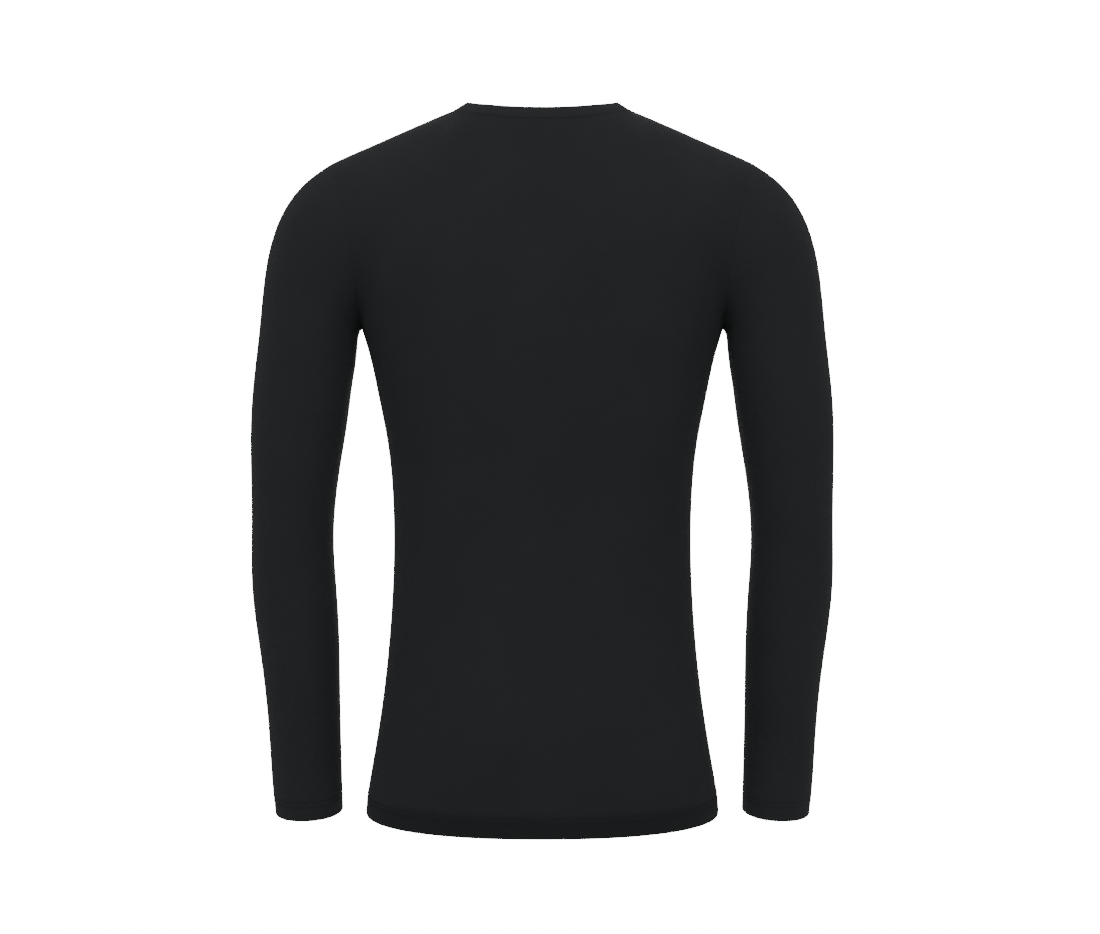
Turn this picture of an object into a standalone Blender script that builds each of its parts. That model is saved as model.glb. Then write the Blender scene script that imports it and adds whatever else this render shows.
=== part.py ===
"""A long-sleeved base layer top, filled out as if worn, with nobody in it.

The garment is one smooth surface through sections: rings round the body, rows up to the shoulders and rings down
each sleeve. The surface is then cut along its seams into the pieces that a maker sews together, and each piece is
given its cloth's thickness, inwards.

Frame, in metres: +Z up, the front faces -Y, and +X is the wearer's left. The origin lies midway between the two
points where the shoulder seams meet the neckband.
"""

import math

import bmesh
import bpy
from mathutils import Vector

MM = 0.001

# Cloth
CLOTH = 1.5 * MM  # body and sleeves: a brushed interlock knit
TURNED_CLOTH = 2.6 * MM  # where the cloth is turned up inside, at hem and cuffs
BAND_CLOTH = 2.4 * MM  # the neckband is folded double
SEAM_GAP = 0.3 * MM  # between neighbouring pieces
TURNED_EDGE = 1.0 * MM  # height of the step where turned-up cloth ends

# Columns and rows of the smooth surface
COLUMNS = (2, 2, 4)  # from the armhole to the shoulder line, then to the neck line, then to the middle
TO_NECK = COLUMNS[0] + COLUMNS[1]
ACROSS = 2 * sum(COLUMNS)  # columns across the whole back, and as many across the front
ARMHOLE_ROWS = 7  # from the underarm point to the shoulder point
SMOOTHING = 1  # levels of subdivision
FITTING_ROUNDS = 16

# Body, from the underarm to the hem edge. In mm: the height at the side seams, half the width, the depth of the
# middle of the back and of the front, and how much lower the section lies there.
BODY_SECTIONS = (
    # z, half_width, back_y, front_y, back_dip, front_dip
    (-208.0, 173.5, 98.0, -122.0, 0.0, 0.0),
    (-235.0, 165.2, 95.5, -122.5, 0.0, 0.0),
    (-275.0, 157.0, 90.5, -121.0, 0.0, 0.0),
    (-318.0, 148.5, 84.0, -117.0, 0.0, 0.0),
    (-365.0, 144.0, 77.5, -112.0, 0.0, 0.0),
    (-412.0, 142.8, 74.0, -108.0, 0.0, 0.0),
    (-460.0, 144.0, 75.0, -106.0, 0.0, 0.0),
    (-510.0, 147.3, 80.5, -106.0, 0.0, 0.0),
    (-558.0, 152.3, 87.5, -107.0, 0.5, 0.0),
    (-605.0, 159.2, 94.0, -108.5, 3.0, 1.5),
    (-649.0, 166.8, 98.0, -109.5, 10.0, 4.0),
    (-669.0, 168.7, 98.0, -109.0, 10.5, 4.5),
)
BODY_SQUARENESS = 2.3  # 2 is an ellipse, and more is boxier

# Neckline, where the neckband is sewn on
NECK_SIDE = (85.0 * MM, 0.0)  # x and z at the shoulder seam
NECK_BACK = (58.0 * MM, -17.0 * MM)  # y and z at the middle of the back
NECK_FRONT = (-80.0 * MM, -86.0 * MM)
NECK_SQUARENESS = 2.2
NECK_DIP = 1.8  # 1 is an even slope from the shoulder seam to the middle, and more is a later one

# Neckband, from the neckline up to its fold
BAND_SIDE = (73.0 * MM, 6.5 * MM)
BAND_BACK = (51.5 * MM, -5.0 * MM)
BAND_FRONT = (-77.0 * MM, -70.0 * MM)
BAND_CROWN = 1.0 * MM  # how far its middle stands proud

# Armhole: a loop from the underarm up the back to the shoulder point, and down the front
SHOULDER_POINT = Vector((200.0, 0.0, -50.5)) * MM
ARMHOLE_BACK = 60.0 * MM  # y of the loop's furthest point, and of the one at the front
ARMHOLE_FRONT = -72.0 * MM
ARMHOLE_SCOOP_BACK = 9.0 * MM  # how far the loop's middle swings in
ARMHOLE_SCOOP_FRONT = 15.0 * MM

# Upper back and upper front, row by row from the underarm to the shoulders. In mm: the middle line's height and
# depth, then a point on the line up to the neck point, one on the line up to the middle of the shoulder, and how
# much of the neckline's bend the row has between the first two.
UPPER_BACK = (
    # middle_z, middle_y, neck_x, neck_z, neck_y, shoulder_x, shoulder_z, shoulder_y, bend
    (-181.0, 100.0, 122.0, -180.0, 79.0, 157.5, -181.0, 54.0, 0.0),
    (-154.0, 99.5, 114.0, -150.5, 85.0, 154.5, -153.0, 65.0, 0.0),
    (-127.0, 97.0, 110.0, -120.5, 84.0, 151.5, -123.0, 70.5, 0.0),
    (-100.0, 91.5, 106.0, -88.5, 75.5, 150.0, -94.0, 66.0, 0.1),
    (-72.0, 82.5, 101.5, -55.5, 58.5, 148.5, -68.0, 52.5, 0.3),
    (-44.5, 70.5, 95.0, -22.0, 34.0, 147.0, -41.5, 30.0, 0.65),
)
UPPER_FRONT = (
    (-191.0, -121.5, 122.0, -181.0, -100.5, 157.5, -181.0, -77.0, 0.0),
    (-174.0, -119.5, 114.0, -152.5, -103.5, 154.5, -153.0, -84.5, 0.0),
    (-156.5, -116.5, 110.0, -122.5, -99.0, 151.5, -123.0, -85.5, 0.0),
    (-139.5, -111.5, 106.0, -90.5, -88.0, 150.0, -94.0, -76.5, 0.1),
    (-122.0, -104.5, 101.5, -57.5, -65.5, 148.5, -67.5, -59.5, 0.35),
    (-104.5, -95.0, 95.5, -22.5, -34.5, 147.0, -41.5, -33.5, 0.75),
)
SHOULDER_ARCH = 0.5 * MM  # how far the shoulder seam rises above a straight line

# Sleeve, from just past the armhole to the cuff edge. In mm: the outer and the inner edge, half the depth, the
# middle's depth, and how far the section tips forwards, in degrees.
SLEEVE_SECTIONS = (
    # outer_x, outer_z, inner_x, inner_z, half_depth, middle_y, tip
    (231.0, -72.5, 176.0, -214.5, 63.0, -4.0, 0.0),
    (253.5, -109.0, 176.3, -222.0, 60.0, -2.0, 0.0),
    (264.7, -156.0, 177.0, -231.5, 57.0, 0.0, 0.0),
    (269.5, -208.0, 178.2, -244.5, 54.5, 2.0, 0.0),
    (274.7, -255.0, 181.5, -266.5, 52.5, 4.0, 0.0),
    (277.7, -300.0, 186.0, -303.0, 50.5, 5.5, 0.0),
    (277.2, -350.0, 193.8, -350.0, 47.5, 6.0, 0.0),
    (276.8, -405.0, 198.9, -405.0, 44.5, 4.5, 2.0),
    (277.2, -455.0, 196.3, -455.0, 44.0, 1.0, 5.0),
    (271.0, -510.0, 194.0, -510.0, 42.0, -5.5, 8.0),
    (264.8, -570.0, 194.2, -570.0, 38.5, -15.0, 9.5),
    (262.3, -630.0, 193.8, -630.0, 35.0, -25.5, 10.0),
    (260.7, -655.0, 193.6, -652.5, 34.0, -29.0, 10.0),
    (259.0, -675.0, 193.2, -672.5, 33.5, -32.5, 10.0),
)
SLEEVE_SQUARENESS = 2.1

# Seams, on a scale from 0, smooth, to 1, sharp
UNDERARM_CREASE = 0.9
FADING_CREASE = 0.45
NECK_CREASE = 1.0
NECK_POINT_CREASE = 0.35  # at the shoulder seam's end
SHARPEST_FOLD = 0.2  # cosine of half the turn at a seam, past which its gap grows no more
THICKEST_FOLD = 2.5  # how many times the cloth's thickness its inside may lie in from a fold

PIECES = ("back_panel", "front_panel", "sleeve_left", "sleeve_right", "neckband")
BLACK = (0.0137, 0.0152, 0.0168, 1.0)
ROUGHNESS = 0.85
METALLIC = 0.0


def oval(turn, squareness):
    """Cosine and sine of a boxy circle, for a share of a turn from +X towards +Y."""
    c, s = math.cos(math.tau * turn), math.sin(math.tau * turn)
    power = 2 / squareness
    return math.copysign(abs(c) ** power, c), math.copysign(abs(s) ** power, s)


def spline(before, start, end, after, share):
    """A point between start and end, on a smooth curve through all four."""
    slope_start = (end - before) / 2
    slope_end = (after - start) / 2
    a, b = share * share * (3 - 2 * share), share * (1 - share)
    return start.lerp(end, a) + b * ((1 - share) * slope_start - share * slope_end)


def flipped(place):
    """The same place on the wearer's other side."""
    return Vector((-place.x, place.y, place.z))


def whole_row(half):
    """A row across the body, from its left half, which ends on the middle line."""
    return half + [flipped(p) for p in reversed(half[:-1])]


class Surface:
    """The one smooth surface before it is cut: corner points by name, and faces marked with their piece."""

    def __init__(self):
        self.points = {}
        self.faces = []
        self.creases = {}

    def put(self, key, place):
        self.points.setdefault(key, Vector(place))
        return key

    def patch(self, piece, rows, turned_up=False):
        """Faces between neighbouring rows, which run down, with their points from the left."""
        for high, low in zip(rows, rows[1:]):
            for k in range(len(high) - 1):
                corners = (high[k], low[k], low[k + 1], high[k + 1])
                self.faces.append((PIECES.index(piece), turned_up, corners))

    def crease(self, keys, sharpness):
        for pair in zip(keys, keys[1:]):
            self.creases[frozenset(pair)] = sharpness

    def mesh(self):
        """Each face's material number is twice its piece's, plus 1 where the cloth is turned up."""
        order = {key: n for n, key in enumerate(self.points)}
        mesh = bpy.data.meshes.new("whole_top")
        mesh.from_pydata(list(self.points.values()), [], [[order[k] for k in keys] for _, _, keys in self.faces])
        for polygon, (piece, turned_up, _) in zip(mesh.polygons, self.faces):
            polygon.material_index = 2 * piece + turned_up
        sharp = {frozenset(order[key] for key in pair): value for pair, value in self.creases.items()}
        crease = mesh.attributes.new("crease_edge", "FLOAT", "EDGE")
        for edge in mesh.edges:
            crease.data[edge.index].value = sharp.get(frozenset(edge.vertices), 0.0)
        return mesh


def body_point(section, k):
    """Point k of a body section, counted from the wearer's left side round the back."""
    z, half_width, back_y, front_y, back_dip, front_dip = section
    c, s = oval(k / (2 * ACROSS), BODY_SQUARENESS)
    side_y = (back_y + front_y) / 2
    depth, dip = (back_y - side_y, back_dip) if s >= 0 else (side_y - front_y, front_dip)
    return Vector((half_width * c, side_y + depth * s, z - dip * abs(s))) * MM


def armhole_point(row, at_back):
    """A point of the left armhole, from the underarm, row 0, to the shoulder point."""
    angle = math.pi * row / ARMHOLE_ROWS
    underarm = body_point(BODY_SECTIONS[0], 0)
    place = underarm.lerp(SHOULDER_POINT, (1 - math.cos(angle)) / 2)
    reach = (ARMHOLE_BACK if at_back else ARMHOLE_FRONT) - (underarm.y + SHOULDER_POINT.y) / 2
    scoop = ARMHOLE_SCOOP_BACK if at_back else ARMHOLE_SCOOP_FRONT
    return place + Vector((-scoop * math.sin(angle) ** 2, reach * math.sin(angle), 0))


def neck_oval(side, middle):
    """A quarter of an oval round the neck, from the shoulder seam to the middle line."""
    places = []
    for column in range(COLUMNS[2] + 1):
        c, s = oval(column / COLUMNS[2] / 4, NECK_SQUARENESS)
        places.append(Vector((side[0] * c, middle[0] * s, side[1] + (middle[1] - side[1]) * s**NECK_DIP)))
    return places


def half_row(hole, shoulder, neck, middle):
    """A smooth half row from the left armhole through the shoulder and neck lines to the middle line."""
    through = [2 * hole - shoulder, hole, shoulder, neck, middle, flipped(neck)]
    places = []
    for n, columns in enumerate(COLUMNS):
        places += [spline(*through[n : n + 4], k / columns) for k in range(columns)]
    return places + [middle]


def highest_row(at_back):
    """Half of the highest row: along the shoulder seam, then round the neckline."""
    neckline = neck_oval(NECK_SIDE, NECK_BACK if at_back else NECK_FRONT)
    places = []
    for k in range(TO_NECK):
        share = k / TO_NECK
        arch = Vector((0.0, 0.0, 4 * SHOULDER_ARCH * share * (1 - share)))
        places.append(SHOULDER_POINT.lerp(neckline[0], share) + arch)
    return places + neckline


def upper_row(table, row, at_back):
    """Half of one row over the upper back or front. Rows near the neck bend round it, as the neckline does."""
    middle_z, middle_y, neck_x, neck_z, neck_y, shoulder_x, shoulder_z, shoulder_y, bend = table[row - 1]
    places = half_row(
        armhole_point(row, at_back),
        Vector((shoulder_x, shoulder_y, shoulder_z)) * MM,
        Vector((neck_x, neck_y, neck_z)) * MM,
        Vector((0.0, middle_y, middle_z)) * MM,
    )
    highest = highest_row(at_back)
    plain = half_row(highest[0], highest[COLUMNS[0]], highest[TO_NECK], highest[-1])
    for k in range(TO_NECK, len(places)):
        places[k] += bend * (highest[k] - plain[k])
    return places


def lay_body(surface):
    """The rings from underarm to hem. It returns the highest ring's keys, from the left side round the back."""
    around = 2 * ACROSS
    rings = [
        [surface.put(("body", n, k), body_point(section, k)) for k in range(around)]
        for n, section in enumerate(BODY_SECTIONS)
    ]
    closed = [ring + ring[:1] for ring in rings]
    for piece, first in (("back_panel", 0), ("front_panel", ACROSS)):
        rows = [ring[first : first + ACROSS + 1] for ring in closed]
        surface.patch(piece, rows[:-1])
        surface.patch(piece, rows[-2:], turned_up=True)
    return closed[0]


def lay_upper(surface, piece, underarm_ring):
    """The upper half of a panel. It returns its armhole edges, from the underarm up, and its neckline."""
    at_back = piece == "back_panel"
    first = 0 if at_back else ACROSS
    lowest = underarm_ring[first : first + ACROSS + 1]
    rows = [lowest if at_back else lowest[::-1]]
    for row in range(1, ARMHOLE_ROWS):
        places = whole_row(upper_row(UPPER_BACK if at_back else UPPER_FRONT, row, at_back))
        rows.append([surface.put((piece, row, k), place) for k, place in enumerate(places)])
    highest = []
    for k, place in enumerate(whole_row(highest_row(at_back))):
        shared = min(k, ACROSS - k) <= TO_NECK
        highest.append(surface.put(("shoulder seam" if shared else piece, ARMHOLE_ROWS, k), place))
    rows.append(highest)
    surface.patch(piece, rows[::-1] if at_back else [row[::-1] for row in rows[::-1]])
    surface.crease(highest[TO_NECK - 1 : TO_NECK + 1], NECK_POINT_CREASE)
    surface.crease(highest[::-1][TO_NECK - 1 : TO_NECK + 1], NECK_POINT_CREASE)
    edges = {"left": [row[0] for row in rows], "right": [row[-1] for row in rows]}
    return edges, highest[TO_NECK : ACROSS - TO_NECK + 1]


def sleeve_point(section, k):
    """Point k of a left sleeve section, counted from its outer edge round the back."""
    outer_x, outer_z, inner_x, inner_z, half_depth, middle_y, tip = section
    c, s = oval(k / (2 * ARMHOLE_ROWS), SLEEVE_SQUARENESS)
    middle = Vector(((outer_x + inner_x) / 2, middle_y, (outer_z + inner_z) / 2))
    across = Vector(((outer_x - inner_x) / 2, 0.0, (outer_z - inner_z) / 2))
    tipped = math.radians(tip)
    along = Vector((0.0, math.cos(tipped), -math.sin(tipped))) * half_depth
    return (middle + across * c + along * s) * MM


def lay_sleeve(surface, side, back_edge, front_edge):
    """The rings down one sleeve, from the points of its armhole."""
    rings = [back_edge[::-1] + front_edge[1:-1]]
    for n, section in enumerate(SLEEVE_SECTIONS):
        places = [sleeve_point(section, k) for k in range(2 * ARMHOLE_ROWS)]
        if side == "right":
            places = [flipped(place) for place in places]
        rings.append([surface.put((side, n, k), place) for k, place in enumerate(places)])
    rows = [ring + ring[:1] for ring in rings]
    if side == "right":
        rows = [row[::-1] for row in rows]
    surface.patch("sleeve_" + side, rows[:-1])
    surface.patch("sleeve_" + side, rows[-2:], turned_up=True)


def lay_neckband(surface, neckline, at_back):
    """Half of the neckband, from the neckline up to its fold."""
    low = neck_oval(NECK_SIDE, NECK_BACK if at_back else NECK_FRONT)
    fold = neck_oval(BAND_SIDE, BAND_BACK if at_back else BAND_FRONT)
    crown = [(a + b) / 2 + Vector((a.x, a.y, 0)).normalized() * BAND_CROWN for a, b in zip(low, fold)]
    rows = [neckline]
    for name, half in (("crown", crown), ("fold", fold)):
        places = whole_row(half)
        ends = (0, len(places) - 1)
        rows.append([surface.put((name, k in ends or at_back, k), p) for k, p in enumerate(places)])
    surface.patch("neckband", rows[::-1] if at_back else [row[::-1] for row in rows[::-1]])
    surface.crease(neckline, NECK_CREASE)


def smoothed(mesh, levels):
    """A new mesh of the smooth surface, whose first points belong to the old one's corners."""
    holder = bpy.data.objects.new("whole_top", mesh)
    bpy.context.scene.collection.objects.link(holder)
    modifier = holder.modifiers.new("Smooth", "SUBSURF")
    modifier.levels = modifier.render_levels = levels
    result = bpy.data.meshes.new_from_object(holder.evaluated_get(bpy.context.evaluated_depsgraph_get()))
    bpy.data.objects.remove(holder)
    return result


def fit_corners(mesh):
    """Moves the corners until the smooth surface passes through the section points."""
    goals = [v.co.copy() for v in mesh.vertices]
    for _ in range(FITTING_ROUNDS):
        found = smoothed(mesh, SMOOTHING)
        for corner, goal, reached in zip(mesh.vertices, goals, found.vertices):
            corner.co += goal - reached.co
        bpy.data.meshes.remove(found)


def add_turned_edges(mesh):
    """Adds a ring of points just above the turned-up cloth, for the step where it ends."""
    bm = bmesh.new()
    bm.from_mesh(mesh)
    above = []
    for vert in list(bm.verts):
        turned_up = {f for f in vert.link_faces if f.material_index % 2}
        if turned_up and len(turned_up) < len(vert.link_faces):
            rising = [e for e in vert.link_edges if not turned_up.intersection(e.link_faces)]
            for edge in rising:
                above.append(bmesh.utils.edge_split(edge, vert, TURNED_EDGE / edge.calc_length())[1])
    bmesh.ops.connect_verts(bm, verts=above)
    bm.to_mesh(mesh)
    bm.free()


def whole_top():
    """The smooth surface of the whole top, without thickness."""
    surface = Surface()
    underarm_ring = lay_body(surface)
    back_edges, back_neckline = lay_upper(surface, "back_panel", underarm_ring)
    front_edges, front_neckline = lay_upper(surface, "front_panel", underarm_ring)
    for side in ("left", "right"):
        lay_sleeve(surface, side, back_edges[side], front_edges[side])
        for edge in (back_edges[side], front_edges[side]):
            surface.crease(edge[1:3], FADING_CREASE)
            surface.crease(edge[:2], UNDERARM_CREASE)
    lay_neckband(surface, back_neckline, at_back=True)
    lay_neckband(surface, front_neckline, at_back=False)
    mesh = surface.mesh()
    fit_corners(mesh)
    whole = smoothed(mesh, SMOOTHING)
    add_turned_edges(whole)
    return whole


def mark_seams(bm):
    """Notes how far each sewn edge is set back, and where each point's inside lies."""
    setback = bm.edges.layers.float.new("setback")
    inside = bm.verts.layers.float_vector.new("inside")
    number = bm.verts.layers.int.new("number")
    for edge in bm.edges:
        if len({f.material_index // 2 for f in edge.link_faces}) > 1:
            fold = math.cos(edge.calc_face_angle() / 2)
            edge[setback] = SEAM_GAP / 2 / max(fold, SHARPEST_FOLD)
    for vert in bm.verts:
        marks = {f.material_index for f in vert.link_faces}
        wall = BAND_CLOTH if 2 * PIECES.index("neckband") in marks else CLOTH
        if any(mark % 2 for mark in marks):
            wall = TURNED_CLOTH
        vert[inside] = -vert.normal * wall * min(vert.calc_shell_factor(), THICKEST_FOLD)
        vert[number] = vert.index


def draw_in(bm):
    """Moves a piece's sewn edges in along the cloth, to leave the seam gap."""
    setback = bm.edges.layers.float["setback"]
    moves = {}
    for vert in bm.verts:
        pulls = []
        for edge in vert.link_edges:
            if edge.is_boundary and edge[setback]:
                loop = edge.link_loops[0]
                along = loop.link_loop_next.vert.co - loop.vert.co
                pulls.append((loop.face.normal.cross(along).normalized(), edge[setback]))
        if len(pulls) == 1:
            moves[vert] = pulls[0][0] * pulls[0][1]
        elif len(pulls) == 2:
            (way_a, far_a), (way_b, far_b) = pulls
            moves[vert] = (way_a * far_a + way_b * far_b) / (1 + way_a.dot(way_b))
    for vert, move in moves.items():
        vert.co += move


def split_rims(bm, inner):
    """Splits each face of a cut edge the way its neighbour's is split, so that the two don't cross."""
    number = bm.verts.layers.int["number"]
    rims = [f for f in bm.faces if 0 < len(inner.intersection(f.verts)) < len(f.verts)]
    for face in rims:
        start = min((loop for loop in face.loops if loop.vert not in inner), key=lambda loop: loop.vert[number])
        bmesh.utils.face_split(face, start.vert, start.link_loop_next.link_loop_next.vert)


def knit_material(name):
    material = bpy.data.materials.new(name)
    material.use_nodes = True
    shader = material.node_tree.nodes["Principled BSDF"]
    shader.inputs["Base Color"].default_value = BLACK
    shader.inputs["Roughness"].default_value = ROUGHNESS
    shader.inputs["Metallic"].default_value = METALLIC
    return material


def cut_piece(whole, number):
    """One piece of the top, cut out of the whole surface and given its thickness."""
    bm = bmesh.new()
    bm.from_mesh(whole)
    bm.normal_update()
    mark_seams(bm)
    others = [f for f in bm.faces if f.material_index // 2 != number]
    bmesh.ops.delete(bm, geom=others, context="FACES")
    draw_in(bm)
    inside = bm.verts.layers.float_vector["inside"]
    made = bmesh.ops.extrude_face_region(bm, geom=list(bm.faces), use_keep_orig=True)
    inner = {g for g in made["geom"] if isinstance(g, bmesh.types.BMVert)}
    for vert in inner:
        vert.co += Vector(vert[inside])
    split_rims(bm, inner)
    bmesh.ops.recalc_face_normals(bm, faces=bm.faces)
    for face in bm.faces:
        face.material_index = 0
    mesh = bpy.data.meshes.new(PIECES[number])
    bm.to_mesh(mesh)
    bm.free()
    mesh.materials.append(knit_material(PIECES[number] + "_knit"))
    bpy.context.scene.collection.objects.link(bpy.data.objects.new(PIECES[number], mesh))


def main():
    for obj in list(bpy.data.objects):
        bpy.data.objects.remove(obj)
    whole = whole_top()
    for number in range(len(PIECES)):
        cut_piece(whole, number)
    bpy.data.meshes.remove(whole)


main()
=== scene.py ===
# %% [markdown]
# # A knitted base layer top
#
# The top is a plain black crew neck with long sleeves, filled out as if someone wore it, with nobody inside.
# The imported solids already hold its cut: a back, a front, two sleeves and a neckband, each a thin wall of
# cloth. This lesson gives them what makes them look like knitted cloth: round folded edges, a grain that runs
# along each piece, seams with their overlocked edges inside, and rows of stitches at the hem and cuffs.

# %% Load the solids
import heapq
import math

import bmesh
import bpy
import numpy as np
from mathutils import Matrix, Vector
from mathutils.bvhtree import BVHTree
from mathutils.kdtree import KDTree


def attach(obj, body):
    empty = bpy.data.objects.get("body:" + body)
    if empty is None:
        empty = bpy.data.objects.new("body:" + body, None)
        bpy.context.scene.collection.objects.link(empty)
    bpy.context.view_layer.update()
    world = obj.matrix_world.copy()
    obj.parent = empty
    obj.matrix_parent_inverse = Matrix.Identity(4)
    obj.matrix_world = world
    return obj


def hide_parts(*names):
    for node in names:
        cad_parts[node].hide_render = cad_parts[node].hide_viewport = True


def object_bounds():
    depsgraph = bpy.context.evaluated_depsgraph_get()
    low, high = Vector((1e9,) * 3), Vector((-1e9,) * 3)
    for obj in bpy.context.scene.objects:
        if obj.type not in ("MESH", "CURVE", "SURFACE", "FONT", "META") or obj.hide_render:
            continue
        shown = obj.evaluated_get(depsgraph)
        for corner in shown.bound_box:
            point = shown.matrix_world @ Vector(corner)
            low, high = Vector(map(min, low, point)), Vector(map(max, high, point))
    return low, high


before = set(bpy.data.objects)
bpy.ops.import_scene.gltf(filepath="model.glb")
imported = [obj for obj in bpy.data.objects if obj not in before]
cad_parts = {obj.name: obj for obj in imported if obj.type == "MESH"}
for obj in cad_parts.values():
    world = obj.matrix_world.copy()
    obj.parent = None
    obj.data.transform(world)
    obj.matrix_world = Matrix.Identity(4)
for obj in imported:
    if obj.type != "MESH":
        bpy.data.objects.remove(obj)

MM = 0.001
cad_low, cad_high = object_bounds()
print("solids:", ", ".join(sorted(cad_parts)))
print("box in mm:", [round(side / MM) for side in cad_high - cad_low])

# %% [markdown]
# ## Camera
#
# A picture for a shop is taken from far away with a long lens, level with the middle of the garment, so that
# nothing looks stretched. A camera's lens follows from three sizes: the sensor, how far away the camera
# stands, and how much of the garment's plane the picture spans. Working it out keeps the top the same size in
# the picture whatever the distance.

# %% Place the camera behind the wearer
PICTURE_PIXELS = 1100  # across
PIXEL = 0.955 * MM  # what one pixel spans on the plane through the neck points
SENSOR = 36.0
CAMERA_PLACE = Vector((-0.0073, 2.0, -0.3405))  # behind the wearer, level with the middle of the top


def placed(name, data):
    """A new object in the scene."""
    made = bpy.data.objects.new(name, data)
    bpy.context.scene.collection.objects.link(made)
    return made


camera_data = bpy.data.cameras.new("studio_camera")
camera_data.sensor_width = SENSOR
camera_data.lens = SENSOR * CAMERA_PLACE.y / (PICTURE_PIXELS * PIXEL)
camera = placed("studio_camera", camera_data)
camera.location = CAMERA_PLACE
camera.rotation_euler = (math.radians(90), 0, math.radians(180))
bpy.context.scene.camera = camera
print("lens in mm:", round(camera_data.lens, 1))

# %% [markdown]
# ## Shader maths as Python
#
# A pattern such as knitting is a formula. In the node editor each plus and times is a node of its own, which
# soon fills the screen. The small class below wraps a socket, so that `1 - mask * 0.3` in Python adds the
# Math nodes by itself. Any other node comes from its one method, `node`.


# %% A socket that can be calculated with
class Wire:
    """A node's output. Sums with it add Math nodes to its tree."""

    def __init__(self, tree, socket=None):
        self.tree = tree
        self.socket = socket

    def into(self, socket):
        """Links this output to another node's input."""
        self.tree.links.new(self.socket, socket)

    def node(self, kind, settings=None, inputs=None, output=0):
        """A new node's output, from its type, its settings and its sockets' values or wires."""
        made = self.tree.nodes.new(kind)
        for name, value in (settings or {}).items():
            setattr(made, name, value)
        for name, value in (inputs or {}).items():
            if isinstance(value, Wire):
                value.into(made.inputs[name])
            else:
                made.inputs[name].default_value = value
        return Wire(self.tree, made.outputs[output])

    def math(self, operation, *values):
        """A Math node that takes this first, and then the other values or wires."""
        return self.node("ShaderNodeMath", {"operation": operation}, dict(enumerate((self, *values))))

    def __add__(self, other):
        return self.math("ADD", other)

    def __sub__(self, other):
        return self.math("SUBTRACT", other)

    def __rsub__(self, other):
        return self * -1 + other

    def __mul__(self, other):
        return self.math("MULTIPLY", other)

    def __truediv__(self, other):
        return self.math("DIVIDE", other)

    __radd__ = __add__
    __rmul__ = __mul__

    def between(self, low, high):
        """low where this is 0, high where it is 1, and evenly between."""
        return self * (high - low) + low

    def wave(self):
        """1 at each whole number and 0 halfway between two."""
        return (self * math.tau).math("COSINE") * 0.5 + 0.5

    def smooth(self, low, high):
        """0 below low, 1 above high, and an easy curve between."""
        return self.node(
            "ShaderNodeMapRange",
            {"interpolation_type": "SMOOTHSTEP"},
            {"Value": self, "From Min": low, "From Max": high},
        )


print("shader maths ready")

# %% [markdown]
# ## Knit, overlock and thread
#
# A plain knit is made of columns of little V-shaped stitches, the wales. On this top a wale is under a
# millimetre wide, so from a step away only a soft, dull grain shows. Real loops of yarn would take millions
# of faces, and a formula on a flat layout in metres draws them as well. Each V has two legs: the distance
# from the wale's middle picks the leg, and a cosine that slants with that distance makes the stitches.
#
# The trimmed edges inside are overlocked, with loops of thread across them, and a sewing thread is a spiral
# of plies. Both are slanting cosines too.

# %% The height of the yarns
WALE = 0.9 * MM  # the width of a column of stitches
COURSE = 0.75 * MM  # the height of a row
LEG_SLANT = 0.7  # how much of a row a leg climbs
LEG_LOW = 0.45  # a leg's height between two stitches, against 1 in the middle of one
LOOP = 2.2 * MM  # along a trimmed edge, from one loop to the next
LOOP_SLANT = 9.0 * MM  # how far across a loop would run before it is level with the next one
LOOPS_BEGIN = (1.0 * MM, 1.8 * MM)  # from the seam
TWIST = 0.8 * MM  # along a thread, one turn of its plies


def knitted(across, along):
    """The yarns' height in a plain knit, from 0 to 1."""
    from_middle = ((across / WALE).math("FRACT") - 0.5).math("ABSOLUTE") * 2
    leg = (from_middle * math.pi).math("SINE")
    stitch = (along / COURSE - from_middle * LEG_SLANT).wave()
    return leg * stitch.between(LEG_LOW, 1)


def overlocked(along, across):
    """The threads' height on a trimmed edge, where loops slant over it."""
    return (along / LOOP + across / LOOP_SLANT).wave() * across.smooth(*LOOPS_BEGIN)


def twisted(along, turns):
    """The plies' height on a sewing thread, which wind round it once for each twist."""
    return (along / TWIST + turns).wave()


print("yarns ready")

# %% [markdown]
# ## Black cloth
#
# Black cloth isn't painted black. It returns about one hundredth of the light, and most of what is seen of
# its form is a faint sheen where the fibres stand up against the edge, so the sheen matters as much as the
# colour.
#
# The cloth is doubled for the last 20 mm at the hem, and there the material paints shade: a darker band on
# the turned-up hem, and cloth that darkens towards the hem from 120 mm above it. Where the neckband is sewn
# on, the layers leave a soft groove, and the material paints a soft shadow in it. These follow curved edges,
# which no plain height can tell, so each mesh will store how near its points are to those edges, and the
# material reads that.

# %% Cloth materials
GRAIN = "grain"  # the UV map, in metres across and along each piece
HEM_NEAR = "hem_nearness"  # 1 on a panel's folded edge and 0 a metre above it
BAND_NEAR = "band_nearness"  # the same for the seam of the neckband

YARN_DEPTH = 0.16 * MM
LOOP_DEPTH = 0.4 * MM
TWIST_DEPTH = 0.06 * MM
FUZZ = {"Scale": 2600.0, "Detail": 2.0}  # noise for the fibres that stand up
FUZZ_HEIGHT = 0.5  # where a yarn's is 1
CLOUDS = {"Scale": 16.0, "Detail": 3.0}  # noise for a slight unevenness of the dye
BUMP_STRENGTH = 0.8

HEM_DEPTH = 20.0 * MM
HEM_BAND_SOFTNESS = 6.0 * MM  # how gently the painted shade of the doubled hem band begins, up and down
LOW_SHADE_REACH = 120.0 * MM  # painted shade: from this far above the hem the cloth darkens down to the hem band
BAND_SHADOW_REACH = 2.6 * MM  # how far from its middle the painted shadow in the groove at the neckband fades out

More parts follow.
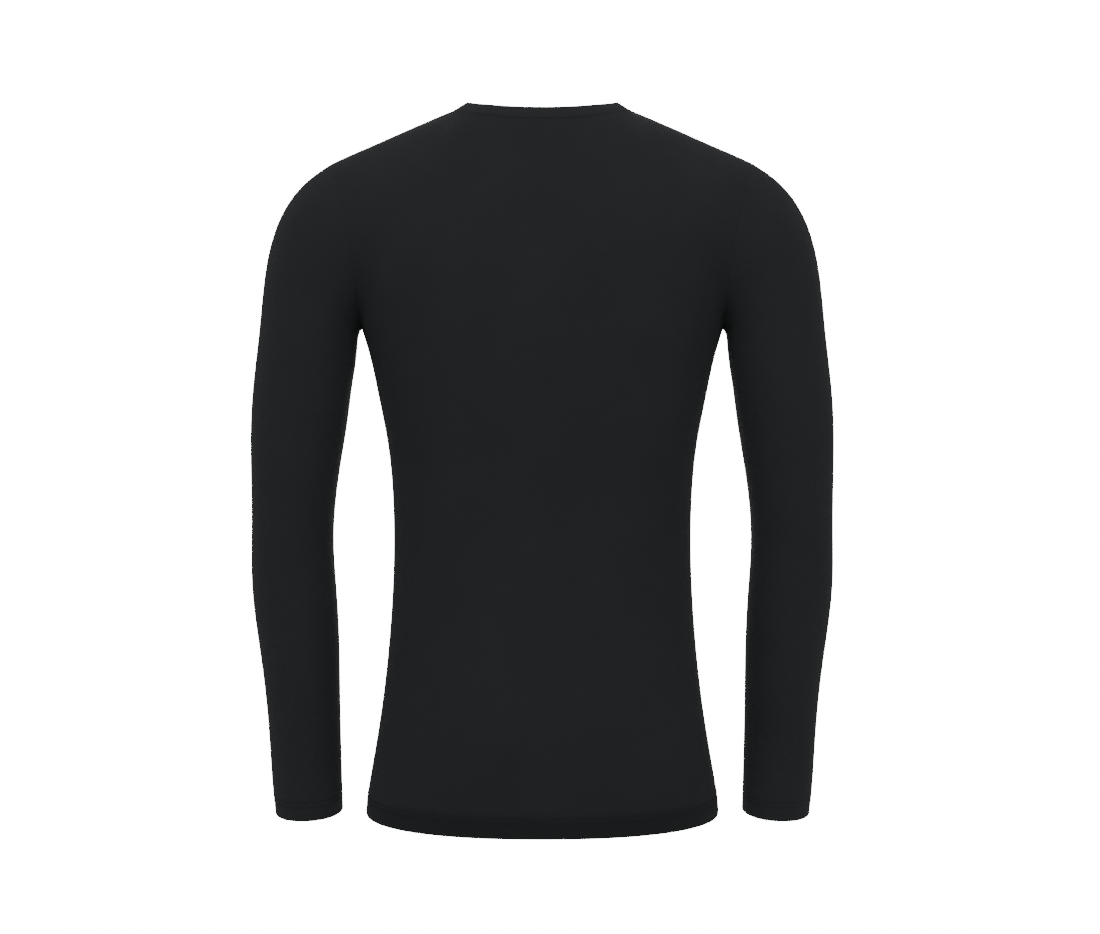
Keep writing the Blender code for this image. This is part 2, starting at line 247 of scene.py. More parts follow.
CLOTH_BLACK = (0.0105, 0.0114, 0.0123)
BAND_BLACK = (0.0122, 0.0129, 0.0139)
THREAD_BLACK = (0.0086, 0.0093, 0.0101)
YARN_SHADES = (0.8, 1.1)  # shares of the colour in the gaps and on the yarns
CLOUD_SHADES = (0.88, 1.12)
# painted shade, as shares of the colour: on the doubled hem band, towards the hem above it, and in the
# neckband's groove
HEM_PAINTED_SHADE = 0.74
LOW_PAINTED_SHADE = 0.9
BAND_SEAM_PAINTED_SHADE = 0.83
FIBRES = {
    "Roughness": 0.85,
    "Specular IOR Level": 0.06,
    "Sheen Weight": 0.018,
    "Sheen Roughness": 0.6,
    "Sheen Tint": (0.93, 0.97, 1.0, 1.0),
}


def black_cloth(name, colour, yarns, depth):
    """A dull black cloth or thread, whose yarns follow the piece's own UV map."""
    material = bpy.data.materials.new(name)
    material.use_nodes = True
    shader = material.node_tree.nodes["Principled BSDF"]
    start = Wire(material.node_tree)

    grain = start.node("ShaderNodeUVMap", {"uv_map": GRAIN})
    u, v = (start.node("ShaderNodeSeparateXYZ", inputs={"Vector": grain}, output=axis) for axis in "XY")
    yarn = yarns(u, v)
    place = start.node("ShaderNodeTexCoord", output="Object")
    fuzz = start.node("ShaderNodeTexNoise", inputs={"Vector": place, **FUZZ})
    cloudy = start.node("ShaderNodeTexNoise", inputs={"Vector": place, **CLOUDS})

    hem = start.node("ShaderNodeAttribute", {"attribute_name": HEM_NEAR}, output="Fac")
    band = start.node("ShaderNodeAttribute", {"attribute_name": BAND_NEAR}, output="Fac")
    # Painted shade: a darker band on the doubled hem, darker cloth above it, and a soft shadow in the
    # neckband's groove
    hem_shade_mask = hem.smooth(1 - HEM_DEPTH - HEM_BAND_SOFTNESS, 1 - HEM_DEPTH + HEM_BAND_SOFTNESS)
    low_shade_mask = hem.smooth(1 - LOW_SHADE_REACH, 1 - HEM_DEPTH)
    band_shadow_mask = band.smooth(1 - BAND_SHADOW_REACH, 1)
    shade = yarn.between(*YARN_SHADES) * cloudy.between(*CLOUD_SHADES)
    shade = shade * hem_shade_mask.between(1, HEM_PAINTED_SHADE) * low_shade_mask.between(1, LOW_PAINTED_SHADE)
    shade = shade * band_shadow_mask.between(1, BAND_SEAM_PAINTED_SHADE)
    tint = start.node("ShaderNodeVectorMath", {"operation": "SCALE"}, {"Vector": colour, "Scale": shade})
    tint.into(shader.inputs["Base Color"])

    relief = {"Height": yarn + fuzz * FUZZ_HEIGHT, "Distance": depth, "Strength": BUMP_STRENGTH}
    start.node("ShaderNodeBump", inputs=relief).into(shader.inputs["Normal"])
    for socket, value in FIBRES.items():
        shader.inputs[socket].default_value = value
    return material


CLOTHS = {
    "knit": black_cloth("black_knit", CLOTH_BLACK, knitted, YARN_DEPTH),
    "neckband_knit": black_cloth("black_band_knit", BAND_BLACK, knitted, YARN_DEPTH),
    "overlocked": black_cloth("black_overlock", CLOTH_BLACK, overlocked, LOOP_DEPTH),
    "thread": black_cloth("black_thread", THREAD_BLACK, twisted, TWIST_DEPTH),
}
print("cloths:", ", ".join(CLOTHS))

# %% [markdown]
# ## From a solid to a wall of cloth
#
# Each solid is a wall of loose triangles with square edges. They could be smoothed as they are, but then the
# edges would melt, so the edges are found first. An edge that turns by more than 38 degrees is marked as a
# seam. Where two pieces are sewn together some edges turn by less, but those rims can be found another way:
# every corner has a partner 0.3 mm away on the next piece. Then the triangles are joined into quads, which
# bend more evenly.

# %% Read the walls
ROUNDING = "bevel_weight_edge"  # where the Bevel modifier looks for each edge's weight
CREASE = "crease_edge"  # where Subdivision looks for it
WELD = 0.01 * MM
SHARP = math.radians(38)
PARTNER = 0.6 * MM  # a corner this near on another piece is a partner
FACING_LIMIT = 0.5  # the cosine of the widest angle at which a face still looks some way
QUAD_TURN = math.radians(40)  # how far the two triangles of a quad may turn
QUAD_SKEW = math.radians(60)  # how far its corners may be from square


def merged_wall(node):
    """A copy of a solid, with its loose triangles merged and its sharp edges marked."""
    bm = bmesh.new()
    bm.from_mesh(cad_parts[node].data)
    bm.loops.layers.uv.new(GRAIN)
    bm.edges.layers.float.new(ROUNDING)
    bm.edges.layers.float.new(CREASE)
    bmesh.ops.remove_doubles(bm, verts=bm.verts, dist=WELD)
    for edge in bm.edges:
        edge.seam = edge.calc_face_angle() > SHARP
    return bm


def partners():
    """For each point that has one, where its nearest neighbour on another piece is."""
    points = [(node, v) for node, bm in walls.items() for v in bm.verts]
    tree = KDTree(len(points))
    for number, (_, v) in enumerate(points):
        tree.insert(v.co, number)
    tree.balance()
    found = {}
    for node, v in points:
        near = [at for at, number, _ in tree.find_range(v.co, PARTNER) if points[number][0] != node]
        if near:
            found[v] = min(near, key=lambda at: (at - v.co).length)
    return found


def mark_rim(bm, partner):
    """Marks the border of a sewn rim, whose faces look toward their partners."""
    rim = set()
    for face in bm.faces:
        if all(v in partner for v in face.verts):
            toward = sum(((partner[v] - v.co).normalized() for v in face.verts), Vector())
            if toward.normalized().dot(face.normal) > FACING_LIMIT:
                rim.add(face)
    for edge in bm.edges:
        if sum(face in rim for face in edge.link_faces) == 1:
            edge.seam = True


walls = {node: merged_wall(node) for node in sorted(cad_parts)}
partner = partners()
for node, bm in walls.items():
    mark_rim(bm, partner)
    bmesh.ops.join_triangles(
        bm,
        faces=bm.faces,
        cmp_seam=True,
        angle_face_threshold=QUAD_TURN,
        angle_shape_threshold=QUAD_SKEW,
    )
    print(node, len(bm.faces), "faces")

# %% [markdown]
# ## The sides of the cloth
#
# The seams divide a wall into islands: its outside, its inside and its rims. A tight bend can cut out a speck
# as well, which is no side of the cloth, so it is joined to the neighbour that it turns least from.

# %% Find the islands of each wall
SPECK = 60 * MM**2  # the area below which an island is a speck


def islands(bm):
    """Groups of faces that no seam divides, the largest first. On a wall that is its outside."""
    groups, seen = [], set()
    for start in bm.faces:
        if start in seen:
            continue
        group, waiting = [], [start]
        seen.add(start)
        while waiting:
            face = waiting.pop()
            group.append(face)
            for edge in face.edges:
                if not edge.seam:
                    fresh = [f for f in edge.link_faces if f not in seen]
                    seen.update(fresh)
                    waiting += fresh
        groups.append(group)
    return sorted(groups, key=lambda group: -sum(f.calc_area() for f in group))


def border(faces):
    """The seam edges of an island."""
    return list(dict.fromkeys(e for face in faces for e in face.edges if e.seam))


def heal_specks(bm):
    """Joins each speck to the neighbour that it turns least from, and drops the edges that divide nothing."""
    groups = islands(bm)
    home = {face: number for number, group in enumerate(groups) for face in group}
    for number, group in enumerate(groups):
        if sum(f.calc_area() for f in group) < SPECK:
            beyond = {e: {home[f] for f in e.link_faces} - {number} for e in border(group)}
            mildest = min(beyond, key=lambda e: e.calc_face_angle())
            for edge in beyond:
                if beyond[edge] == beyond[mildest]:
                    edge.seam = False
    home = {face: number for number, group in enumerate(islands(bm)) for face in group}
    for edge in bm.edges:
        edge.seam = edge.seam and len({home[f] for f in edge.link_faces}) == 2


for node, bm in walls.items():
    heal_specks(bm)
    print(node, len(islands(bm)), "islands")

# %% [markdown]
# ## Smooth cloth
#
# One round of subdivision smooths the walls. Their seams are creased, so that they bend only as curves.
# Beside the neck many rows meet in a slight ridge, and a few rounds of smoothing relax it as cloth would.

# %% Subdivide and relax
LEVELS = 1  # of subdivision
NECK_POINTS = (Vector((85 * MM, 0, 0)), Vector((-85 * MM, 0, 0)))
RELAXED = 45 * MM  # how far from the neck points the cloth is relaxed
RELAX_ROUNDS = 5


def relax(bm):
    """Smooths the cloth beside the neck, but leaves its edges where they are."""
    held = {v for e in bm.edges if e.seam for v in e.verts}
    near = [v for v in bm.verts if min((v.co - point).length for point in NECK_POINTS) < RELAXED]
    free = [v for v in near if v not in held]
    for _ in range(RELAX_ROUNDS):
        bmesh.ops.smooth_vert(bm, verts=free, factor=0.5, use_axis_x=True, use_axis_y=True, use_axis_z=True)


def subdivide(bm):
    """Subdivides the wall with its seams creased, and leaves them as its only edges that aren't smooth."""
    crease = bm.edges.layers.float[CREASE]
    for edge in bm.edges:
        edge[crease] = float(edge.seam)
    mesh = bpy.data.meshes.new("wall")
    bm.to_mesh(mesh)
    holder = placed("wall", mesh)
    smooth = holder.modifiers.new("smooth", "SUBSURF")
    smooth.levels = smooth.render_levels = LEVELS
    made = bpy.data.meshes.new_from_object(holder.evaluated_get(bpy.context.evaluated_depsgraph_get()))
    bpy.data.objects.remove(holder)
    bm.clear()
    bm.from_mesh(made)
    for edge in bm.edges:
        edge.smooth = not edge.seam
    bm.verts.index_update()


for node, bm in walls.items():
    subdivide(bm)
    relax(bm)
    print(node, len(bm.faces), "smooth faces")

# %% [markdown]
# ## The sleeve's own seam
#
# A sleeve is one flat piece that is sewn into a tube under the arm. To lay its grain flat, Blender needs to
# know where that tube is cut open: along the shortest way from the lowest point of the armhole to the cuff.
# The search is Dijkstra's. It always goes on from the point that is nearest so far, and each point keeps the
# edge that led to it, so the way back can be read off at the end.

# %% Cut open each sleeve under the arm
def chain_up(edges):
    """The edges' points in order, as one list for each chain. A closed chain ends on its first point."""
    touching = {}
    for edge in edges:
        for v in edge.verts:
            touching.setdefault(v, []).append(edge)
    loose = [v for v in touching if len(touching[v]) == 1]
    chains, used = [], set()
    for start in loose + list(touching):
        chain = [start]
        while onward := [e for e in touching[chain[-1]] if e not in used]:
            used.add(onward[0])
            chain.append(onward[0].other_vert(chain[-1]))
        if len(chain) > 1:
            chains.append([v.co.copy() for v in chain])
    return chains


def cut_open(faces):
    """The shortest chain of edges from the lowest point of a tube's upper rim to its lower rim."""
    heights = [v.co.z for face in faces for v in face.verts]
    middle = (max(heights) + min(heights)) / 2
    edges = {e for face in faces for e in face.edges}
    rim = {v for e in edges if e.seam for v in e.verts}
    start = min((v for v in rim if v.co.z > middle), key=lambda v: v.co.z)
    best = {start: (0.0, None)}
    waiting = [(0.0, start.index, start)]
    while waiting:
        travelled, _, point = heapq.heappop(waiting)
        if point in rim and point.co.z < middle:
            break
        for edge in point.link_edges:
            other = edge.other_vert(point)
            length = travelled + edge.calc_length()
            if edge in edges and not edge.seam and length < best.get(other, (math.inf,))[0]:
                best[other] = (length, edge)
                heapq.heappush(waiting, (length, other.index, other))
    path = []
    while best[point][1]:
        path.append(best[point][1])
        point = path[-1].other_vert(point)
    return path


seams = []  # for each seam the piece that its allowance lies on, and the chain of points along it inside
for side in ("left", "right"):
    bm = walls["sleeve_" + side]
    paths = [cut_open(faces) for faces in islands(bm)[:3]]  # its outside, its inside and the turned-up cuff
    for edge in sum(paths, []):
        edge.seam = True
    seams += [("sleeve_" + side, chain) for chain in chain_up(paths[1])]
    print(side, "sleeve seam in mm:", round(sum(e.calc_length() for e in paths[0]) / MM))

# %% [markdown]
# ## Where the pieces are sewn together
#
# Two pieces are sewn together where the inner edge of one runs close beside the other. Each of those edges is
# kept as a chain of points, because the sewn allowances inside will follow them. The solids stand a little
# apart there, so each point of a seam then moves nearly halfway to its partner on the other piece, and the
# gap closes.

# %% Find the seams between pieces
SEWN = (  # the piece that the allowance lies on, and the pieces that it is sewn to
    ("back_panel", ("front_panel",)),
    ("sleeve_left", ("back_panel", "front_panel")),
    ("sleeve_right", ("back_panel", "front_panel")),
    ("back_panel", ("neckband",)),
    ("front_panel", ("neckband",)),
)
CLOSE = 1.0 * MM  # an inner edge this near another piece is sewn to it
MEETING = 0.42  # a point's share of the way to its partner: under half, so that the pieces stay just apart


def points_along(edges):
    """A tree of the points along some edges, a millimetre apart or less."""
    places = []
    for edge in edges:
        start, end = (v.co for v in edge.verts)
        parts = np.linspace(0, 1, 2 + int(edge.calc_length() / MM))
        places += [start.lerp(end, part) for part in parts]
    tree = KDTree(len(places))
    for number, place in enumerate(places):
        tree.insert(place, number)
    tree.balance()
    return tree


for node, others in SEWN:
    beside = points_along([e for other in others for e in walls[other].edges if e.seam])
    inner = border(islands(walls[node])[1])
    middles = [(e.verts[0].co + e.verts[1].co) / 2 for e in inner]
    chains = chain_up([e for e, place in zip(inner, middles) if beside.find(place)[2] < CLOSE])
    seams += [(node, chain) for chain in chains]
    print(node, "to", ", ".join(others), [len(chain) for chain in chains], "points")
moved = {v: v.co.lerp(at, MEETING) for v, at in partners().items()}
for v, place in moved.items():
    v.co = place

# %% [markdown]
# ## Folded edges and sewn edges
#
# At hem and cuffs the cloth is folded over, and the neckband is folded double along its upper edge. A fold is
# a wide round, and a sewn edge turns in sharply. The rim beside an edge tells them apart, because at a fold
# it faces down, or up on the neckband. Each edge now gets a weight for its rounding. The folds are also kept,
# as chains of points for the stitches and as search trees for the material.

# %% Tell folded edges from sewn ones
SEWN_SHARE = 0.15  # the radius of a sewn edge, as a share of a folded one's


def folded_edges(node, bm):
    """The edges where the cloth is folded over. There the rim faces down, or up on the neckband."""
    facing = 1 if node == "neckband" else -1
    found = []
    for faces in islands(bm)[2:]:
        normal = sum((f.normal * f.calc_area() for f in faces), Vector()).normalized()
        if normal.z * facing > FACING_LIMIT:
            found += border(faces)
    return found


def weigh_edges(bm, folds):
    """Gives each edge its share of the widest rounding, and leaves the whole wall smooth."""
    rounding = bm.edges.layers.float[ROUNDING]
    for edge in bm.edges:
        edge[rounding] = 1.0 if edge in folds else SEWN_SHARE if not edge.smooth else 0.0
        edge.smooth = True
    for face in bm.faces:
        face.smooth = True


folds = {node: folded_edges(node, bm) for node, bm in walls.items()}
fold_points = {node: points_along(edges) for node, edges in folds.items()}
fold_chains = {}
for node, bm in walls.items():
    weigh_edges(bm, folds[node])
    fold_chains[node] = chain_up([e for e in border(islands(bm)[0]) if e in folds[node]])
    print(node, "folds in mm:", round(sum(e.calc_length() for e in folds[node]) / MM))
band_seam = [e for e in border(islands(walls["neckband"])[0]) if e not in folds["neckband"]]
band_points = points_along(band_seam)

# %% [markdown]
# ## Lay the cloth flat
#
# Cloth is cut flat, so its grain is a flat pattern too. Blender's unwrap gives each piece a flat layout, but
# at any size and turn. Two sums put that right. The slope of height over the layout says which way is up, and
# the real area divided by the layout's area gives the scale. After that, one unit is one metre of cloth.
#
# The neckband is a ring, which doesn't lie flat. Its layout comes straight from its form: the way around the
# ring goes across, and the distance from its seam goes up.

# %% Unwrap each wall into metres
def unwrap(piece, method):
    """Blender's own unwrap, which works on the active object in Edit Mode."""
    bpy.context.view_layer.objects.active = piece
    bpy.ops.object.mode_set(mode="EDIT")
    bpy.ops.mesh.select_all(action="SELECT")
    bpy.ops.uv.unwrap(method=method)
    bpy.ops.object.mode_set(mode="OBJECT")


def layout_area(faces, flat):
    """The area that the faces cover in a flat layout of their corners."""
    area, corner = 0.0, 0
    for face in faces:
        across, along = flat[corner : corner + len(face.verts)].T
        area += abs(across @ np.roll(along, -1) - along @ np.roll(across, -1)) / 2
        corner += len(face.verts)
    return area


def settle_layout(bm):
    """Turns each island upright and scales it to metres. Returns the outside's width, length and area."""
    uv = bm.loops.layers.uv[GRAIN]
    sizes = []
    for faces in islands(bm):
        loops = [loop for face in faces for loop in face.loops]
        flat = np.array([loop[uv].uv for loop in loops])
        flat -= flat.mean(axis=0)
        height = np.array([loop.vert.co.z for loop in loops])
        up = np.linalg.lstsq(flat, height - height.mean(), rcond=None)[0]
        up /= np.linalg.norm(up)
        flat = np.column_stack((flat @ (up[1], -up[0]), flat @ up))
        area = sum(face.calc_area() for face in faces)
        flat *= math.sqrt(area / layout_area(faces, flat))
        for loop, place in zip(loops, flat):
            loop[uv].uv = place
        sizes.append((*np.ptp(flat, axis=0), area))
    return sizes[0]


def ring_layout(bm, seam):
    """The layout of a ring that is sewn on along a seam. Returns the outside's length, height and area."""
    uv = bm.loops.layers.uv[GRAIN]
    length = sum(e.calc_length() for e in seam)
    from_seam = points_along(seam)
    middle = sum((v.co for v in bm.verts), Vector()) / len(bm.verts)
    for face in bm.faces:
        centre = face.calc_center_median() - middle
        turn = math.atan2(centre.y, centre.x)
        for loop in face.loops:
            corner = loop.vert.co - middle
            share = turn + math.remainder(math.atan2(corner.y, corner.x) - turn, math.tau)
            loop[uv].uv = (share / math.tau * length, from_seam.find(loop.vert.co)[2])
    area = sum(face.calc_area() for face in islands(bm)[0])
    return length, area / length, area


pieces, flat_sizes = {}, {}
for node, bm in walls.items():
    mesh = bpy.data.meshes.new(node + "_cloth")
    piece = placed(node + "_cloth", mesh)
    bm.to_mesh(mesh)
    if node == "neckband":
        flat_sizes[node] = ring_layout(bm, band_seam)
    else:
        unwrap(piece, "MINIMUM_STRETCH" if "sleeve" in node else "CONFORMAL")
        bm.clear()
        bm.from_mesh(mesh)
        flat_sizes[node] = settle_layout(bm)
    bm.to_mesh(mesh)
    pieces[node] = piece
    width, length, area = flat_sizes[node]
    print(f"{node}: {width / MM:.0f} x {length / MM:.0f} mm flat, {area:.4f} square metres")

# %% [markdown]
# ## Round the edges
#
# Sewn cloth has round edges: a hem is a fold, and a seam turns in, which leaves a fine groove. The Bevel
# modifier reads a weight from each edge, so one modifier makes a wide round at a fold and a narrow one at a
# seam. Weighted normals keep the broad faces beside it evenly shaded. Each panel's mesh also stores how near
# its points are to the folded edge and to the neckband's seam, which the material reads to paint shade there:
# a darker band at the hem and a soft shadow in the groove at the neckband.

# %% Bevel and apply
ROUND_FOLD = 1.15 * MM  # radius of a folded edge
ROUND_SEGMENTS = 4


def apply_modifiers(piece):
    """Gives the piece its mesh as its modifiers leave it."""
    made = bpy.data.meshes.new_from_object(piece.evaluated_get(bpy.context.evaluated_depsgraph_get()))
    piece.modifiers.clear()
    piece.data = made


def keep_nearness(mesh, name, points):
    """An attribute that is 1 at the points that a search tree holds and falls to 0 a metre from them."""
    near = mesh.attributes.new(name, "FLOAT", "POINT")
    near.data.foreach_set("value", [1 - points.find(v.co)[2] for v in mesh.vertices])


for node, piece in pieces.items():
    bevel = piece.modifiers.new("round_edges", "BEVEL")
    bevel.limit_method = "WEIGHT"
    bevel.width = ROUND_FOLD
    bevel.segments = ROUND_SEGMENTS
    piece.modifiers.new("broad_faces", "WEIGHTED_NORMAL")
    apply_modifiers(piece)
    mesh = piece.data
    # The nearness to the hem's fold and to the neckband's seam places the painted shade there.
    if "panel" in node:
        keep_nearness(mesh, HEM_NEAR, fold_points[node])
    if "sleeve" not in node:
        keep_nearness(mesh, BAND_NEAR, band_points)
    slot = "neckband_knit" if node == "neckband" else "knit"
    mesh.materials.clear()
    mesh.materials.append(CLOTHS[slot])
    mesh.calc_loop_triangles()
    print(piece.name, len(mesh.loop_triangles), "triangles")
    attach(piece, "root")
    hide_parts(node)

# %% [markdown]
# ## Seam allowances inside
#
# Beside each seam the two layers of cloth are trimmed to 6 mm, overlocked together and pressed to one side.
# Inside the garment that shows as a flat strip. A curve with a bevelled section could draw it, but it would
# cut through the cloth where that bends, so each point of the strip looks for the cloth under it with a
# search tree.

# %% Walk along a seam and over the cloth
ASIDE = 3.0 * MM  # a step to one side, which shows whether the cloth lies there
SKIP = 0.8 * MM  # the first step from a seam, past the rounded edge
CREEP = 0.7 * MM  # the longest step after that
LIFT = 0.3 * MM  # each step also rises this much, so that it lands on the same side of the cloth
TINY = 0.001 * MM


def spaced(chain, step):
    """Places at even steps along a chain, the way it runs there, and how far along it they are."""
    points = np.array([place[:] for place in chain])
    lengths = np.concatenate(([0], np.cumsum(np.linalg.norm(np.diff(points, axis=0), axis=1))))
    travelled = np.linspace(0, lengths[-1], max(3, round(lengths[-1] / step) + 1))
    places = np.column_stack([np.interp(travelled, lengths, points[:, axis]) for axis in range(3)])
    ways = np.gradient(places, axis=0)
    return [Vector(p) for p in places], [Vector(w).normalized() for w in ways], travelled


def tree_of(piece):
    """A search tree of a piece's faces."""
    mesh = piece.data
    return BVHTree.FromPolygons([v.co for v in mesh.vertices], [p.vertices for p in mesh.polygons])


def off_cloth(tree, places, sides):
    """How far a step aside leads off the cloth, summed over all places."""
    return sum(tree.find_nearest(place + side * ASIDE)[3] for place, side in zip(places, sides))


def creep(tree, place, side, reaches):
    """Points of the cloth at growing distances to one side, found in short steps so that none goes astray."""
    point, normal = tree.find_nearest(place + side * SKIP)[:2]
    found, gone = [], SKIP
    for reach in reaches:
        while gone < reach - TINY:
            step = min(CREEP, reach - gone)
            way = (side - normal * side.dot(normal)).normalized()
            point, normal = tree.find_nearest(point + way * step + normal * LIFT)[:2]
            gone += step
        found.append((point, normal))
    return found


trees = {node: tree_of(piece) for node, piece in pieces.items()}
print("search trees:", ", ".join(trees))

# %% [markdown]
# ## Lay the strips
#
# A strip's section is a ring of eight points. The strip starts as one face with that outline, and each
# extrusion carries the face one step along the seam, where its corners move onto the cloth. The points beside
# the seam are set back from the first one on flat cloth.

# %% Lay the strips
SECTION = (  # in mm: how far from the seam, and how far off the cloth
    (-0.7, 0.1), (-0.7, 0.9), (0.2, 1.2), (3.0, 1.15), (5.5, 1.0), (6.1, 0.5), (5.7, 0.05), (1.2, 0.05)
)
STRIP_STEP = 4.0 * MM


def cloth_side(tree, places, ways):
    """At each place along a seam, the way across it that leads over the cloth."""
    sides = [tree.find_nearest(place)[1].cross(way).normalized() for place, way in zip(places, ways)]
    backs = [-side for side in sides]
    return backs if off_cloth(tree, places, backs) <= off_cloth(tree, places, sides) else sides


def extruded(bm, face):
    """The far end of a face's extrusion. Its edges go in with it, so that no face stays behind inside."""
    made = bmesh.ops.extrude_face_region(bm, geom=[face, *face.edges])["geom"]
    return next(part for part in made if isinstance(part, bmesh.types.BMFace))


def strip(name, tree, chain):
    """A flat strip along a seam, on the cloth that the tree holds."""
    places, ways, travelled = spaced(chain, STRIP_STEP)
    reaches = sorted({max(across * MM, SKIP) for across, _ in SECTION})
    bm = bmesh.new()
    uv = bm.loops.layers.uv.new(GRAIN)
    bmesh.ops.create_circle(bm, cap_ends=True, segments=len(SECTION), radius=MM)
    end = next(iter(bm.faces))
    flat = {}  # where each corner lies in the flat layout
    for place, side, gone in zip(places, cloth_side(tree, places, ways), travelled):
        if flat:
            end = extruded(bm, end)
        cloth = dict(zip(reaches, creep(tree, place, side, reaches)))
        for corner, (across, off) in zip(end.verts, SECTION):
            under, normal = cloth[max(across * MM, SKIP)]
            corner.co = under + normal * off * MM + side * min(across * MM - SKIP, 0)
            flat[corner] = (gone, across * MM)
    bmesh.ops.recalc_face_normals(bm, faces=bm.faces)
    for face in bm.faces:
        face.smooth = True
        for loop in face.loops:
            loop[uv].uv = flat[loop.vert]
    mesh = bpy.data.meshes.new(name)
    bm.to_mesh(mesh)
    bm.free()
    return placed(name, mesh)


trims = {node: [] for node in pieces}  # what is sewn on each piece
for number, (node, chain) in enumerate(seams, 1):
    made = strip(f"seam_allowance_{number}", trees[node], chain)
    made.data.materials.append(CLOTHS["overlocked"])
    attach(made, "root")
    trims[node].append(made)
    print(made.name, "on", node, len(made.data.polygons), "faces")

# %% [markdown]
# ## Cover stitches at hem and cuffs
#
# The turned-up cloth is held by a cover stitch: two straight rows on the outside, and inside a thread that
# swings between them. All stitches of one piece are one mesh. A stitch is a small sphere, drawn out along its
# thread. It is made once, and every copy is its array of points turned, stretched and moved, which numpy does
# in one sum, while an object for each stitch would fill the scene.

# %% One stitch and its copies
STITCH_LENGTH = 2.4 * MM
THREAD = 0.24 * MM  # its radius

bm = bmesh.new()
bmesh.ops.create_uvsphere(bm, u_segments=8, v_segments=5, radius=1.0)
stitch_points = np.array([v.co[:] for v in bm.verts])
stitch_faces = [[v.index for v in f.verts] for f in bm.faces]
bm.free()
stitch_turns = np.arctan2(stitch_points[:, 2], stitch_points[:, 1]) / math.tau
stitch_layout = np.column_stack((stitch_points[:, 0] * STITCH_LENGTH / 2, stitch_turns))


def sewn(name, stitches):
    """One mesh of stitches, from each one's two ends and the cloth's normal there."""
    points, faces = [], []
    for start, end, normal in stitches:
        along = end - start
        across = normal.cross(along).normalized()
        axes = np.array([(along / 2)[:], (across * THREAD)[:], (normal * THREAD)[:]])
        faces += [[k + len(points) * len(stitch_points) for k in face] for face in stitch_faces]
        points.append(stitch_points @ axes + np.array(((start + end) / 2)[:]))
    mesh = bpy.data.meshes.new(name)
    mesh.from_pydata(np.concatenate(points), [], faces)
    mesh.shade_smooth()
    mesh.materials.append(CLOTHS["thread"])
    corners = np.array([loop.vertex_index for loop in mesh.loops]) % len(stitch_points)
    mesh.uv_layers.new(name=GRAIN).uv.foreach_set("vector", stitch_layout[corners].ravel())
    return placed(name, mesh)


print("a stitch has", len(stitch_faces), "faces")

# %% Sew the hem and cuffs
ROWS = (14.0 * MM, 19.0 * MM)  # above the folded edge
PITCH = 3.0 * MM
SINK = 0.1 * MM  # how deep a thread lies in the cloth
DOUBLE_CLOTH = 2.6 * MM  # from the stitches outside to those inside


def on_cloth(tree, place):
    """The point of the cloth nearest to a place, a little sunk in, and the normal there."""
    found, normal = tree.find_nearest(place)[:2]
    return found + normal * (THREAD - SINK), normal


def cover_stitches(tree, fold):
    """The stitches above a folded edge, each as its two ends and the cloth's normal."""
    places, ways, _ = spaced(fold, PITCH)
    normals = [tree.find_nearest(place + Vector((0, 0, ROWS[0])))[1] for place in places]
    ups = [normal.cross(way).normalized() for normal, way in zip(normals, ways)]
    ups = [up if up.z > 0 else -up for up in ups]
    rows = [[on_cloth(tree, place + up * row) for place, up in zip(places, ups)] for row in ROWS]
    lower, upper = ([on_cloth(tree, place - normal * DOUBLE_CLOTH) for place, normal in row] for row in rows)
    stitches = []
    for row in rows:
        for (place, normal), way in zip(row, ways):
            half = way * STITCH_LENGTH / 2
            stitches.append((place - half, place + half, normal))
    for (low, normal), (high, _), (next_low, _) in zip(lower, upper, lower[1:]):
        stitches.append((low, high, normal))
        stitches.append((high, next_low, normal))
    return stitches


for node in pieces:
    if node != "neckband":
        stitches = [stitch for fold in fold_chains[node] for stitch in cover_stitches(trees[node], fold)]
        made = sewn("stitches_" + node, stitches)
        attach(made, "root")
        trims[node].append(made)
        print(made.name, len(stitches), "stitches")

# %% [markdown]
# ## What is cloth
#
# Each piece of cloth has a size when it lies flat and pieces that it rests on: the sleeves and the neckband
# rest on the back and the front. What is sewn to each piece was gathered as its seams and stitches were made.
# The flat sizes were measured when the walls were unwrapped, and this cell reads them for each piece.

# %% Each piece of cloth's flat size and what it rests on
for node, piece in pieces.items():
    width, length, area = flat_sizes[node]
    resting = [] if "panel" in node else [pieces["back_panel"], pieces["front_panel"]]
print("declared", len(pieces), "pieces of cloth")

# %% [markdown]
# ## Studio
#
# The ground is pure white and the floor is far below, so nothing but the cloth is seen. The light comes from
# four wide panels round the camera, from one before the wearer for the front, and from the white room all
# round, which draws the pale rim along the sleeves.

# %% White room
SEEN_WHITE = 20.0  # bright enough to be pure white to the camera
ROOM_LIGHT = 0.75

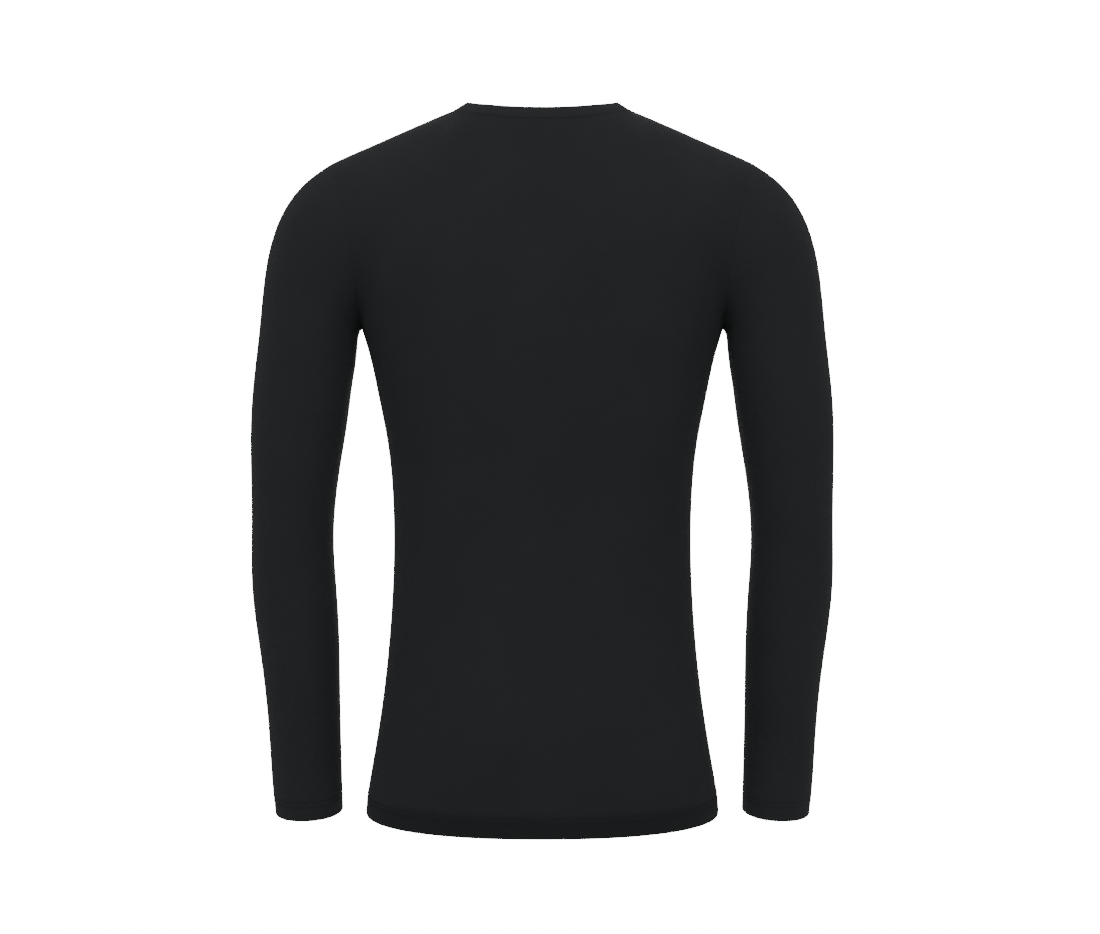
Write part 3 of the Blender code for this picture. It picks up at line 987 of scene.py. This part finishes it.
world = bpy.data.worlds.new("white_room")
bpy.context.scene.world = world
world.use_nodes = True
tree = world.node_tree
room = Wire(tree)
seen = room.node("ShaderNodeLightPath", output="Is Camera Ray")
seen.between(ROOM_LIGHT, SEEN_WHITE).into(tree.nodes["Background"].inputs["Strength"])
tree.nodes["Background"].inputs["Color"].default_value = (1, 1, 1, 1)
print("room ready")

# %% Floor
FLOOR_DROP = 0.85  # below the hem
FLOOR_SIZE = 5.0
FLOOR_FADE = (1.0, 2.3)  # how far out the floor starts to fade, and where it is gone
FLOOR_GREY = (0.85, 0.85, 0.85, 1)
FLOOR_ROUGHNESS = 0.9

bpy.ops.mesh.primitive_plane_add(size=FLOOR_SIZE, location=(0, 0, cad_low.z - FLOOR_DROP))
floor = bpy.context.active_object
floor.name = "studio_floor"
floor_material = bpy.data.materials.new("studio_floor")
floor_material.use_nodes = True
floor_shader = floor_material.node_tree.nodes["Principled BSDF"]
floor_shader.inputs["Base Color"].default_value = FLOOR_GREY
floor_shader.inputs["Roughness"].default_value = FLOOR_ROUGHNESS
surface = Wire(floor_material.node_tree)
spot = surface.node("ShaderNodeTexCoord", output="Object")
reach = surface.node("ShaderNodeVectorMath", {"operation": "LENGTH"}, {"Vector": spot}, output="Value")
fade = 1 - reach.smooth(*FLOOR_FADE)
fade.into(floor_shader.inputs["Alpha"])
floor.data.materials.append(floor_material)
print("floor ready")

# %% Lights
AIM = Vector((0, 0, -0.34))  # the middle of the top
PANELS = (  # each one's place, size and power in watts
    ("panel_above", (0.0, 1.5, 1.6), 1.6, 30.0),
    ("panel_left", (1.7, 2.2, 0.4), 1.2, 22.0),
    ("panel_right", (-1.7, 2.2, 0.4), 1.2, 22.0),
    ("panel_camera", (0.0, 3.2, -0.2), 1.6, 21.0),
    ("panel_front", (0.0, -2.6, 0.3), 1.8, 48.0),
)
for name, place, size, watts in PANELS:
    data = bpy.data.lights.new(name, "AREA")
    data.size = size
    data.energy = watts
    light = placed(name, data)
    light.location = place
    light.rotation_euler = (AIM - light.location).to_track_quat("-Z", "Y").to_euler()
print(len(PANELS), "light panels")
